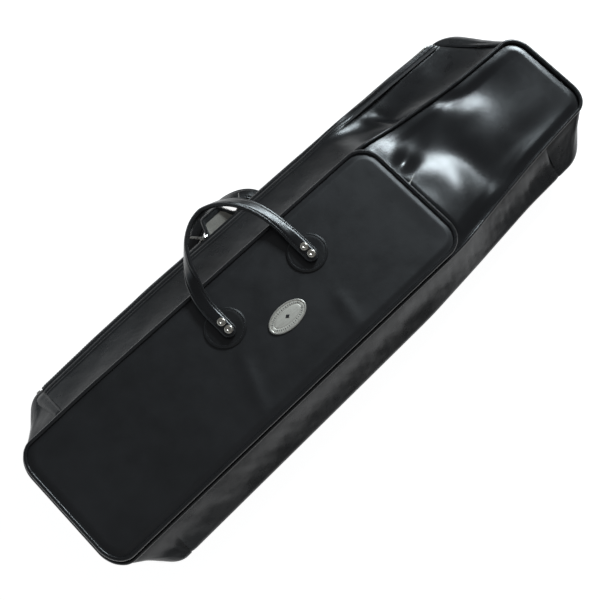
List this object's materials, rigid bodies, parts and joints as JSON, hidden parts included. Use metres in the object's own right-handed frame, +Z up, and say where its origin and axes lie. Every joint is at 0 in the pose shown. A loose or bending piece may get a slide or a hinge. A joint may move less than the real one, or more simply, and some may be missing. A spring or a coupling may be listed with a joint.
{
  "type": "cue case",
  "caption": "Soft zipped case for two-piece cues: padded panels, folded side gussets, zipped front pocket, two strap handles.",
  "frame": {"origin": "middle of the flat back rest face, between the long sides and the two ends of the back panel", "axes": "+Z up from the back rest face to the pocket, +X along the case towards its soft narrow end, +Y towards the main zip and the handles"},
  "size_m": [0.826, 0.3061, 0.1278],
  "materials": {
    "leather": "smooth semi-gloss imitation leather, wrinkled",
    "pocket_leather": "smooth matte imitation leather",
    "strap_leather": "glossy stitched imitation leather",
    "piping": "glossy piping",
    "lining": "light grey woven lining",
    "board": "stiffener sheet",
    "zip_tape": "woven zip tape",
    "zip_coil": "nylon coil",
    "zip_metal": "polished nickel",
    "rivet_metal": "polished nickel",
    "badge_metal": "brushed plate with a bright rim",
    "divider": "padded fabric",
    "webbing": "black webbing"
  },
  "bodies": {
    "case": {"back_pad": "leather", "back_panel": "leather", "back_board": "board", "back_piping": "piping", "front_panel": "leather", "front_board": "board", "front_piping": "piping", "bottom_gusset": "leather", "near_end_gusset": "leather", "far_end_gusset": "leather", "rear_lip": "leather", "front_lip_far": "leather", "lining_front": "lining", "lining_back": "lining", "lining_bottom": "lining", "lining_near_end": "lining", "lining_far_end": "lining", "lining_rear_lip": "lining", "rear_zip_tape": "zip_tape", "rear_zip_coil": "zip_coil", "far_zip_tape": "zip_tape", "far_zip_coil": "zip_coil", "main_zip_stops": "zip_metal", "end_seam_tabs": "leather", "cue_divider": "divider", "cue_loop_near": "webbing", "cue_loop_far": "webbing", "pocket_panel": "pocket_leather", "pocket_gusset": "leather", "pocket_piping": "piping", "pocket_zip_tapes": "zip_tape", "pocket_zip_coils": "zip_coil", "pocket_zip_stops": "zip_metal", "front_patch_near": "strap_leather", "front_patch_far": "strap_leather", "front_strap_ends": "strap_leather", "front_rivets": "rivet_metal", "rear_patch_near": "strap_leather", "rear_patch_far": "strap_leather", "rear_strap_ends": "strap_leather", "rear_rivets": "rivet_metal", "badge_plate": "badge_metal", "badge_rim": "badge_metal"},
    "front_handle": {"front_handle": "strap_leather"},
    "rear_handle": {"rear_handle": "strap_leather"},
    "mouth_lip": {"front_lip": "leather", "front_lip_lining": "lining", "front_zip_tape": "zip_tape", "front_zip_coil": "zip_coil"},
    "slider_near": {"slider_near": "zip_metal"},
    "pull_near": {"pull_near": "zip_metal"},
    "slider_far": {"slider_far": "zip_metal"},
    "pull_far": {"pull_far": "zip_metal"},
    "pocket_slider": {"pocket_slider": "zip_metal"},
    "pocket_pull": {"pocket_pull": "zip_metal"}
  },
  "joints": [
    {"name": "front_handle_swing", "type": "hinge", "parent": "case", "child": "front_handle", "pos_m": [-0.0765, 0.052, 0.1097], "axis": [1, 0, 0], "range_deg": [0, 120]},
    {"name": "rear_handle_swing", "type": "hinge", "parent": "case", "child": "rear_handle", "pos_m": [-0.0545, 0.072, 0.0059], "axis": [1, 0, 0], "range_deg": [-110, 0]},
    {"name": "mouth_opening", "type": "hinge", "parent": "case", "child": "mouth_lip", "pos_m": [-0.085, 0.0888, 0.0836], "axis": [1, 0, 0], "range_deg": [0, 44]},
    {"name": "slider_near_slide", "type": "slide", "parent": "mouth_lip", "child": "slider_near", "axis": [1, 0, 0], "range_m": [-0.25, 0.022]},
    {"name": "pull_near_swing", "type": "hinge", "parent": "slider_near", "child": "pull_near", "pos_m": [-0.075, 0.1463, 0.047], "axis": [0, 0, 1], "range_deg": [-125, 45]},
    {"name": "slider_far_slide", "type": "slide", "parent": "mouth_lip", "child": "slider_far", "axis": [1, 0, 0], "range_m": [-0.022, 0.142]},
    {"name": "pull_far_swing", "type": "hinge", "parent": "slider_far", "child": "pull_far", "pos_m": [-0.012, 0.1463, 0.047], "axis": [0, 0, 1], "range_deg": [-45, 125]},
    {"name": "pocket_slider_slide", "type": "slide", "parent": "case", "child": "pocket_slider", "axis": [0, 1, 0], "range_m": [-0.06, 0.043]},
    {"name": "pocket_pull_swing", "type": "hinge", "parent": "pocket_slider", "child": "pocket_pull", "pos_m": [0.1437, 0.009, 0.0948], "axis": [0, 0, 1], "range_deg": [-105, 65]}
  ]
}
